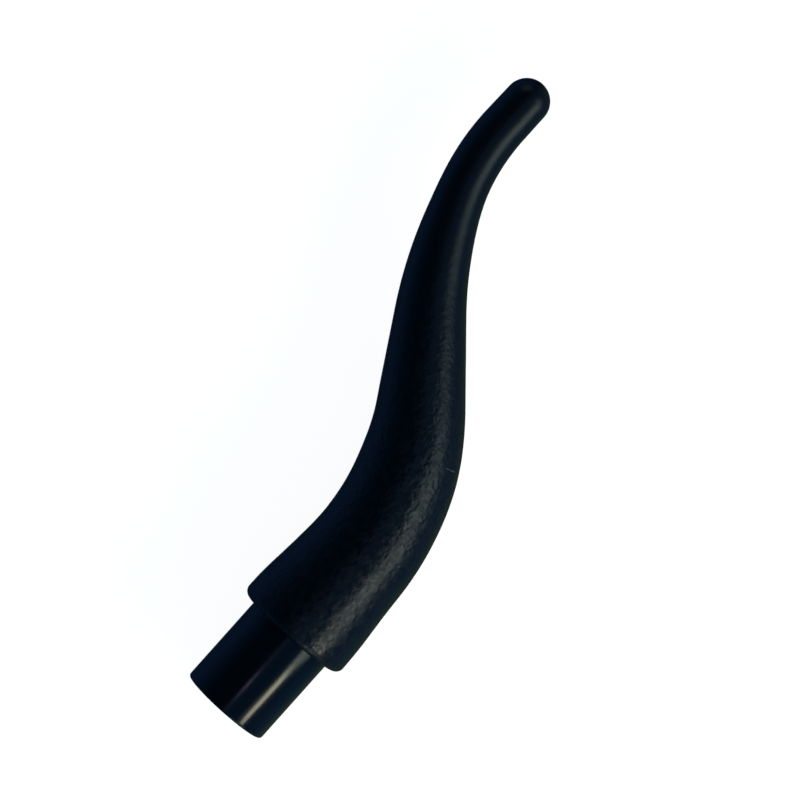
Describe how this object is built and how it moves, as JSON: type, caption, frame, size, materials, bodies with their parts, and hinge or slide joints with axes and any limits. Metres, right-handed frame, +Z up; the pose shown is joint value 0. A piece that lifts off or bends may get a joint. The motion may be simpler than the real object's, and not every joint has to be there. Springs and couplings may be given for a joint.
{
  "type": "saliva ejector tip",
  "caption": "Soft S-curved suction tube with a domed tip, pushed onto a rigid hollow connector that plugs into a suction handpiece.",
  "frame": {"origin": "centre of the soft collar's rim, where the connector's spigot leaves the body and where insertion into a handpiece stops", "axes": "+X along the connector's axis into the body, the S-curve in the XY plane with its first bend towards +Y, +Z up with the part lying on its side"},
  "size_m": [0.0776, 0.0305, 0.0144],
  "materials": {
    "connector_plastic": "polished black hard plastic",
    "body_rubber": "matte black moulded elastomer",
    "seal_rubber": "smooth moulded rubber",
    "screen_steel": "satin stainless steel",
    "wire_brass": "drawn annealed wire"
  },
  "bodies": {
    "connector": {"suction_connector": "connector_plastic"},
    "seals": {"rear_seal_ring": "seal_rubber", "front_seal_ring": "seal_rubber"},
    "body": {"curved_body": "body_rubber", "shape_wire": "wire_brass"},
    "screen": {"debris_screen": "screen_steel"}
  },
  "joints": [
    {"name": "body_swivel", "type": "hinge", "parent": "connector", "child": "seals", "pos_m": [0, 0, 0], "axis": [1, 0, 0], "continuous": true},
    {"name": "body_pull_off", "type": "slide", "parent": "seals", "child": "body", "axis": [1, 0, 0], "range_m": [0, 0.012]},
    {"name": "screen_pull_out", "type": "slide", "parent": "connector", "child": "screen", "axis": [-1, 0, 0], "range_m": [0, 0.01]}
  ]
}
